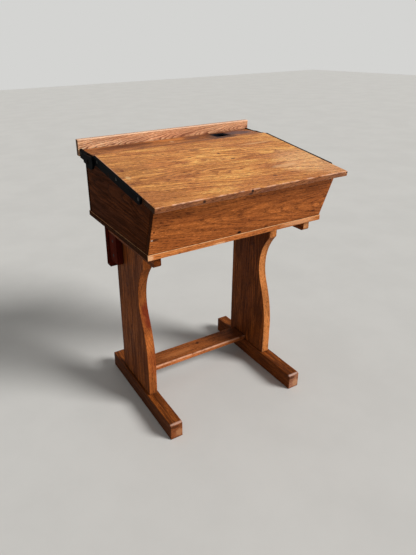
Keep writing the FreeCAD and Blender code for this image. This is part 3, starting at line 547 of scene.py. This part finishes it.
boards = {
    "lid_board_front": {
        "look": "lidOak", "slot": "lid_wood", "along": "x", "pith": (0, 0.03, -0.07),
        "tilt": (0, 2.0, 7.0), "ringWidth": 0.0044, "wander": 0.022, "arris": 0.0014, "glued": lidFall,
        # painted shade: the front edge, facing forward and down, takes a dark tone; the underside is raw wood
        "sides": [{"facing": -lidFall, "tone": tint(98, 53, 38), "amount": 0.95},
                  {"facing": lidUnder, "tone": rawInside, "amount": 0.55}],
        "tones": lidTones, "marks": lidMarks},
    "lid_board_rear": {
        "look": "lidOak", "slot": "lid_wood", "along": "x", "pith": (0, -0.05, -0.09),
        "tilt": (0, -1.8, 5.0), "ringWidth": 0.0048, "wander": 0.022, "arris": 0.0014, "worn": 0.72,
        "glued": -lidFall, "marksFrom": "lid_board_front",
        "sides": [{"facing": lidUnder, "tone": rawInside, "amount": 0.55}],
        "tones": lidTones, "marks": lidMarks},
    "lid_batten_left": {
        "look": "rawOak", "slot": "inside_wood", "along": "y", "pith": (0.03, 0, -0.05)},
    "lid_batten_right": {
        "look": "rawOak", "slot": "inside_wood", "along": "y", "pith": (-0.03, 0, -0.05)},
    "pen_shelf": {
        "look": "shelfOak", "slot": "shelf_wood", "along": "x", "pith": (0, 0.03, -0.07),
        "tilt": (0, 1.0, 0.4),
        "marks": {
            "inkSpill": {"at": (0.16, -0.0032, 0.0072), "size": (0.062, 0.05, 0.01),
                         "colour": tint(44, 34, 38), "depth": 0.75, "ragged": 0.9},
            "greyStain": {"at": (0.235, 0.0118, 0.0072), "size": (0.055, 0.034, 0.01),
                          "colour": tint(88, 74, 80), "depth": 0.82, "ragged": 1.0},
            "redBrownStain": {"at": (0.06, 0.0218, 0.0072), "size": (0.035, 0.022, 0.01),
                              "colour": tint(88, 56, 56), "depth": 0.55, "ragged": 1.0},
            "paleScratch": {"at": (-0.02, 0.0018, 0.0072), "size": (0.006, 0.012, 0.01),
                            "colour": tint(226, 176, 130), "depth": 0.7, "ragged": 0.4},
            "darkStreak": {"at": (-0.16, 0.0318, 0.0072), "size": (0.12, 0.012, 0.01),
                           "colour": tint(96, 54, 34), "depth": 0.6, "ragged": 0.9}}},
    "upstand_rail": {
        "look": "upstandOak", "slot": "upstand_wood", "along": "x", "pith": (0, 0.03, -0.004),
        "tilt": (0, 1.0, 2.6), "ringWidth": 0.0014, "wander": 0.012},
    "box_front": {
        "look": "boxOak", "slot": "box_wood", "along": "x", "pith": (0, 0.07, 0.02),
        "tilt": (0, -5.0, 1.6), "ringWidth": 0.0036, "wander": 0.008,
        "sides": [{"facing": (0, 0.95, 0.32), "tone": rawInside, "amount": 0.8}],  # its leaning inside
        "marks": {
            "darkHole": {"at": (-0.009, 0.0113, -0.0613), "size": (0.008, 0.008, 0.005),
                         "colour": tint(16, 8, 6), "depth": 1.0, "ragged": 0.4},
            "rightStain": {"at": (0.242, 0.0073, -0.0453), "size": (0.012, 0.006, 0.003),
                           "colour": tint(70, 30, 14), "depth": 0.8, "ragged": 0.4},
            "nailHole": {"at": (0.263, -0.0252, 0.0511), "size": (0.005, 0.005, 0.005),
                         "colour": tint(24, 12, 8), "depth": 1.0, "ragged": 0.4},
            "leftStain": {"at": (-0.263, 0.0003, -0.0238), "size": (0.012, 0.008, 0.004),
                          "colour": tint(50, 24, 12), "depth": 0.8, "ragged": 0.8},
            "filledNail": {"at": (-0.2715, 0.0003, -0.0238), "size": (0.003, 0.006, 0.0025),
                           "colour": tint(214, 190, 172), "depth": 0.8, "ragged": 0.4}}},
    "box_side_left": {
        "look": "shadedSideOak", "slot": "box_wood", "along": "y", "pith": (0.05, 0, 0.02),
        "tilt": (1.4, 0, 2.4), "ringWidth": 0.0044, "wander": 0.02,
        "sides": [{"facing": (1, 0, 0), "tone": rawInside, "amount": 0.8}]},
    "box_side_right": {
        "look": "shadedSideOak", "slot": "box_wood", "along": "y", "pith": (-0.05, 0, 0.01),
        "tilt": (-1.4, 0, 2.2), "ringWidth": 0.0044, "wander": 0.02,
        "sides": [{"facing": (-1, 0, 0), "tone": rawInside, "amount": 0.8}]},
    "box_back": {
        "look": "shadedSideOak", "slot": "box_wood", "along": "x", "pith": (0, -0.08, -0.02),
        "tilt": (0, 1.0, 1.4), "ringWidth": 0.004,
        "sides": [{"facing": (0, -1, 0), "tone": rawInside, "amount": 0.8}]},
    "bottom_board_front": {
        "look": "bottomOak", "slot": "bottom_wood", "along": "x", "pith": (0, 0.02, 0.09),
        "tilt": (0, 1.0, 0.5), "glued": (0, 1, 0),
        "sides": [{"facing": (0, 0, 1), "tone": rawInside, "amount": 0.7},
                  {"facing": (0, 0, -1), "tone": tint(122, 78, 48), "amount": 0.6}],
        "marks": {
            # painted highlight: the pale marks along the top of the front edge
            "paleCorner": {"at": (-0.272, -0.1051, -0.0006), "size": (0.011, 0.005, 0.008),
                           "colour": tint(236, 190, 146), "depth": 0.6, "ragged": 0.9},
            "paleDash": {"at": (-0.07, -0.1051, -0.0046), "size": (0.02, 0.005, 0.003),
                         "colour": tint(236, 190, 146), "depth": 0.5, "ragged": 1.1},
            "smallHole": {"at": (-0.19, -0.1051, -0.006), "size": (0.004, 0.005, 0.003),
                          "colour": tint(80, 36, 18), "depth": 0.8, "ragged": 0.4},
            "paleBand": {"at": (0.2, -0.1051, 0.0004), "size": (0.07, 0.005, 0.007),
                        "colour": tint(240, 184, 136), "depth": 0.4, "ragged": 1.1}}},
    "bottom_board_rear": {
        "look": "bottomOak", "slot": "bottom_wood", "along": "x", "pith": (0, -0.03, -0.09),
        "tilt": (0, -1.0, 0.5), "glued": (0, -1, 0),
        "sides": [{"facing": (0, 0, 1), "tone": rawInside, "amount": 0.7},
                  {"facing": (0, 0, -1), "tone": tint(122, 78, 48), "amount": 0.6}]},
    "bearer_left": {
        "look": "standOak", "slot": "stand_wood", "along": "y", "pith": (0.04, 0, 0.05), "worn": 0.3},
    "bearer_right": {
        "look": "standOak", "slot": "stand_wood", "along": "y", "pith": (-0.04, 0, 0.05), "worn": 0.3,
        # painted light: the front end is given a pale tone
        "sides": [{"facing": (0, -1, 0), "tone": tint(250, 176, 118), "amount": 0.9}]},
    "rear_cleat_left": {
        "look": "shadedRailOak", "slot": "stand_wood", "along": "z", "pith": (0.05, 0.03, 0)},
    "rear_cleat_right": {
        "look": "shadedRailOak", "slot": "stand_wood", "along": "z", "pith": (-0.05, 0.03, 0)},
    "rear_rail": {
        "look": "shadedRailOak", "slot": "stand_wood", "along": "x", "pith": (0, 0.06, 0.02),
        "tilt": (0, 1.2, 1.4)},
    "upright_left": {
        "look": "standOak", "slot": "stand_wood", "along": "z", "pith": (0.06, 0.02, 0),
        "tilt": (0.8, 1.2, 0), "ringWidth": 0.0038,
        # painted light: the front face is given a paler tone
        "sides": [{"facing": (0, -1, 0), "tone": tint(208, 118, 56), "amount": 0.5}],
        "marks": {
            "redStain": {"at": (0.0204, -0.0855, 0.0132), "size": (0.04, 0.08, 0.06),
                         "colour": tint(100, 27, 14), "depth": 0.82, "ragged": 1.0},
            "lowerRedStain": {"at": (0.0204, -0.1055, -0.1368), "size": (0.04, 0.08, 0.07),
                              "colour": tint(110, 40, 18), "depth": 0.5, "ragged": 1.2},
            "darkNeck": {"at": (0.0204, -0.1555, 0.2333), "size": (0.03, 0.05, 0.02),
                         "colour": tint(74, 34, 16), "depth": 0.6, "ragged": 1.0}}},
    "upright_right": {
        "look": "standOak", "slot": "stand_wood", "along": "z", "pith": (-0.07, -0.01, 0),
        "tilt": (-0.8, 1.2, 0), "ringWidth": 0.004,
        # painted light: the front face is given a paler tone
        "sides": [{"facing": (0, -1, 0), "tone": tint(232, 146, 78), "amount": 0.6}],
        "marks": {
            "darkNeck": {"at": (-0.0204, -0.1555, 0.2433), "size": (0.03, 0.06, 0.03),
                         "colour": tint(78, 36, 17), "depth": 0.5, "ragged": 1.0}}},
    "foot_left": {
        "look": "standOak", "slot": "stand_wood", "along": "y", "pith": (0.03, 0, -0.05),
        "tilt": (0.9, 0, 0.5), "arris": 0.0018, "worn": 0.22,
        # painted light and shade: a paler front end and a dark left face
        "sides": [{"facing": (0, -1, 0), "tone": tint(168, 106, 70), "amount": 0.4},
                  {"facing": (-1, 0, 0), "tone": tint(44, 18, 6), "amount": 0.6}],
        "marks": {
            "paleToe": {"at": (0.0088, -0.2098, -0.0088), "size": (0.014, 0.004, 0.016),
                        "colour": tint(206, 150, 108), "depth": 0.55, "ragged": 1.0},
            # painted shadow under the toe's top edge, and a painted highlight along that edge
            "toeShadow": {"at": (-0.0063, -0.2098, 0.0162), "size": (0.018, 0.004, 0.006),
                        "colour": tint(56, 25, 15), "depth": 0.65, "ragged": 0.9},
            "toeHighlight": {"at": (0.0168, -0.2058, 0.0252), "size": (0.05, 0.0045, 0.0045),
                        "colour": tint(196, 156, 136), "depth": 0.6, "ragged": 1.0}}},
    "foot_right": {
        "look": "standOak", "slot": "stand_wood", "along": "y", "pith": (-0.03, 0, -0.05),
        "tilt": (0.9, 0, -0.5), "arris": 0.0018, "worn": 0.24,
        # painted light: a paler front end
        "sides": [{"facing": (0, -1, 0), "tone": tint(204, 148, 118), "amount": 0.55}],
        "marks": {
            "paleToe": {"at": (0.0073, -0.2098, -0.0088), "size": (0.014, 0.004, 0.016),
                        "colour": tint(214, 164, 126), "depth": 0.55, "ragged": 1.0},
            # painted shadow under the toe's top edge, and a painted highlight along that edge
            "toeShadow": {"at": (-0.0098, -0.2098, 0.0162), "size": (0.016, 0.004, 0.006),
                        "colour": tint(58, 26, 16), "depth": 0.65, "ragged": 0.9},
            "toeHighlight": {"at": (-0.0168, -0.2058, 0.0252), "size": (0.05, 0.0045, 0.0045),
                        "colour": tint(200, 166, 150), "depth": 0.65, "ragged": 1.0}}},
    "stretcher": {
        "look": "standOak", "slot": "stand_wood", "along": "x", "pith": (0, 0.03, -0.06),
        "tilt": (0, 1.0, 0.5), "arris": 0.0016, "worn": 0.6,
        "sides": [{"facing": (0, 0, 1), "tone": tint(176, 100, 50), "amount": 0.45},
                  # painted light: a bright tone on the front face
                  {"facing": (0, -1, 0), "tone": tint(220, 128, 70), "amount": 0.7}],
        "marks": {
            "knot": {"at": (0.03, 0.013, 0.0085), "size": (0.008, 0.006, 0.01),
                     "colour": tint(46, 18, 8), "depth": 0.9, "ragged": 0.4},
            "paleBand": {"at": (-0.06, -0.004, 0.0085), "size": (0.07, 0.012, 0.01),
                        "colour": tint(220, 140, 80), "depth": 0.3, "ragged": 1.1},
            # painted shadow at the right end, where it meets the upright
            "rightEndShadow": {"at": (0.19, 0.006, 0.0085), "size": (0.03, 0.06, 0.04),
                        "colour": tint(52, 22, 10), "depth": 0.6, "ragged": 0.8}}}}

bodyOf = {name: body for body, names in frame["record"]["behaviour"]["bodies"].items() for name in names}

for seed, (nodeName, board) in enumerate(boards.items(), start=1):
    piece = wornBoard(nodeName, board, seed)
    dress(piece, woodMaterial(nodeName, board))
    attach(piece, bodyOf[nodeName])
    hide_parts(nodeName)
print("boards:", len(boards))

# iron, screws, nails and inkwell keep their CAD meshes

ironLooks = {
    "blackIron": {"base": tint(4, 5, 7), "bare": tint(52, 56, 64), "roughness": 0.5},
    "dullSteel": {"base": tint(66, 64, 62), "bare": tint(148, 146, 142), "roughness": 0.36},
    "nailIron": {"base": tint(112, 62, 34), "bare": tint(146, 98, 64), "roughness": 0.5}}
ironFinish = {  # levels are the noise that a blotch starts at and the noise that it is full at
    "mottle": tint(13, 15, 18), "mottleScale": 120.0, "mottleLevels": (0.4, 0.75), "mottleDepth": 0.5,
    "mottleRoughness": 0.3, "rust": tint(74, 40, 24), "rustScale": 38.0, "rustLevels": (0.58, 0.76),
    "rustDepth": 0.45, "rustRoughness": 0.25, "bareDepth": 0.8, "bareShine": 0.8,
    "wearReach": 0.0014, "wearBreakup": 90.0, "wearCover": 0.42, "specular": 0.02,
    "bump": 0.5, "bumpDepth": 0.0006}
glaze = {
    "base": tint(30, 35, 44), "stain": tint(10, 11, 15), "stainScale": 45.0, "stainLevels": (0.35, 0.65),
    "speckle": tint(58, 60, 66), "speckleScale": 600.0, "speckleLevels": (0.58, 0.7), "speckleDepth": 0.4,
    "boreShade": tint(8, 8, 12), "boreShadeReach": 0.03, "roughness": (0.5, 0.7), "specular": 0.01,
    "bump": 0.2, "bumpDepth": 0.0004}


def ironMaterial(name, look):
    made, tree, shader, where = startMaterial(name)
    place = where["Object"]
    mottle = roughNoise(tree, place, ironFinish["mottleScale"], detail=5.0, roughness=0.65)
    rust = roughNoise(tree, place, ironFinish["rustScale"], detail=6.0, roughness=0.7)
    rust = fade(tree, rust, *ironFinish["rustLevels"])
    paleEdge = useGroup(tree, "edgeWear", {"vector": place, "reach": ironFinish["wearReach"],
                                       "breakup": ironFinish["wearBreakup"],
                                       "cover": ironFinish["wearCover"]})["mask"]
    mottled = fade(tree, mottle, *ironFinish["mottleLevels"], 0.0, ironFinish["mottleDepth"])
    colour = blendColours(tree, mottled, look["base"], ironFinish["mottle"])
    colour = layOver(tree, colour, rust, ironFinish["rustDepth"], ironFinish["rust"])
    colour = layOver(tree, colour, paleEdge, ironFinish["bareDepth"], look["bare"])
    tree.links.new(colour, shader.inputs["Base Color"])
    bright = fade(tree, calc(tree, "SUBTRACT", paleEdge, rust), 0.0, 1.0, 0.0, ironFinish["bareShine"])
    tree.links.new(bright, shader.inputs["Metallic"])
    roughness = calc(tree, "MULTIPLY_ADD", mottle, ironFinish["mottleRoughness"], look["roughness"])
    roughness = calc(tree, "MULTIPLY_ADD", rust, ironFinish["rustRoughness"], roughness, clamp=True)
    tree.links.new(roughness, shader.inputs["Roughness"])
    shader.inputs["Specular IOR Level"].default_value = ironFinish["specular"]
    addBump(tree, shader, mottle, ironFinish["bump"], ironFinish["bumpDepth"])
    return made


def stonewareMaterial(name):
    made, tree, shader, where = startMaterial(name)
    place = where["Object"]
    speckle = fade(tree, roughNoise(tree, place, glaze["speckleScale"]), *glaze["speckleLevels"])
    stain = roughNoise(tree, place, glaze["stainScale"], detail=5.0, roughness=0.65)
    stain = fade(tree, stain, *glaze["stainLevels"])
    colour = blendColours(tree, stain, glaze["base"], glaze["stain"])
    colour = layOver(tree, colour, speckle, glaze["speckleDepth"], glaze["speckle"])
    # painted shade: the bore and hollows of the well darken
    boreShade = useGroup(tree, "creviceShade", {"vector": place, "reach": glaze["boreShadeReach"]})["mask"]
    colour = blendColours(tree, boreShade, colour, glaze["boreShade"])
    tree.links.new(colour, shader.inputs["Base Color"])
    tree.links.new(fade(tree, stain, 0.0, 1.0, *glaze["roughness"]), shader.inputs["Roughness"])
    shader.inputs["Specular IOR Level"].default_value = glaze["specular"]
    addBump(tree, shader, stain, glaze["bump"], glaze["bumpDepth"])
    return made


irons = {name: ironMaterial(name, look) for name, look in ironLooks.items()}
for nodeName, node in cadNodes.items():
    if nodeName.endswith("_screws"):
        dress(node, irons["dullSteel"])
    elif nodeName.endswith("_nails"):
        dress(node, irons["nailIron"])
    elif nodeName.startswith("hinge_"):
        dress(node, irons["blackIron"])
dress(cadNodes["inkwell_cup"], stonewareMaterial("stoneware"))
print("iron and stoneware dressed")

# floor, light and camera

studio = {  # metres and degrees
    "floor": tint(212, 210, 205), "floorCloud": tint(207, 205, 200), "cloudsPerMetre": 3.0,
    "cloudLevels": (0.3, 0.7), "floorRoughness": 0.75, "floorSize": 12.0, "backdrop": tint(212, 212, 210),
    "skyStrength": 0.27, "keyStrength": 3.2, "keySpread": 24, "keyFrom": (0.52, -0.62, 0.59)}
view = {"at": (-0.7265, -1.1217, 1.06), "turn": (64.96, 1.29, -28.96), "lens": 31.17,
        "shiftX": 0.0644, "shiftY": -0.0256}  # metres, degrees, lens in millimetres, shares of the frame


def makeFloor():
    mesh = bmesh.new()
    bmesh.ops.create_grid(mesh, x_segments=1, y_segments=1, size=studio["floorSize"])
    data = bpy.data.meshes.new("floor")
    mesh.to_mesh(data)
    mesh.free()
    floor = bpy.data.objects.new("floor", data)
    scene.collection.objects.link(floor)
    made, tree, shader, where = startMaterial("paleFloor")
    cloud = roughNoise(tree, where["Object"], studio["cloudsPerMetre"], detail=4.0, roughness=0.6)
    cloud = fade(tree, cloud, *studio["cloudLevels"])
    colour = blendColours(tree, cloud, studio["floor"], studio["floorCloud"])
    tree.links.new(colour, shader.inputs["Base Color"])
    shader.inputs["Roughness"].default_value = studio["floorRoughness"]
    dress(floor, made)


def makeWorld():
    # the object is lit by plain light, while the camera, gloss and glass see the backdrop
    scene.world = bpy.data.worlds.new("studio")
    scene.world.use_nodes = True
    tree = scene.world.node_tree
    tree.nodes.clear()
    lit = addNode(tree, "ShaderNodeBackground", {"Color": (1, 1, 1, 1), "Strength": studio["skyStrength"]})
    seen = addNode(tree, "ShaderNodeBackground", {"Color": studio["backdrop"], "Strength": 1.0})
    rays = addNode(tree, "ShaderNodeLightPath").outputs
    direct = calc(tree, "MAXIMUM", rays["Is Camera Ray"], rays["Is Transmission Ray"])
    direct = calc(tree, "MAXIMUM", direct, rays["Is Glossy Ray"])
    mixed = addNode(tree, "ShaderNodeMixShader", {0: direct, 1: lit.outputs[0], 2: seen.outputs[0]})
    addNode(tree, "ShaderNodeOutputWorld", {0: mixed.outputs[0]})


def makeKeyLight():
    lamp = bpy.data.lights.new("keyLight", "SUN")
    lamp.energy = studio["keyStrength"]
    lamp.angle = math.radians(studio["keySpread"])
    holder = bpy.data.objects.new("keyLight", lamp)
    scene.collection.objects.link(holder)
    holder.rotation_euler = Vector(studio["keyFrom"]).to_track_quat("Z", "Y").to_euler()


def makeCamera():
    data = bpy.data.cameras.new("camera")
    data.lens = view["lens"]
    data.shift_x = view["shiftX"]
    data.shift_y = view["shiftY"]
    camera = bpy.data.objects.new("camera", data)
    scene.collection.objects.link(camera)
    camera.location = view["at"]
    camera.rotation_euler = [math.radians(angle) for angle in view["turn"]]
    scene.camera = camera


makeFloor()
makeWorld()
makeKeyLight()
makeCamera()
scene.view_settings.view_transform = "Standard"
print("studio ready")
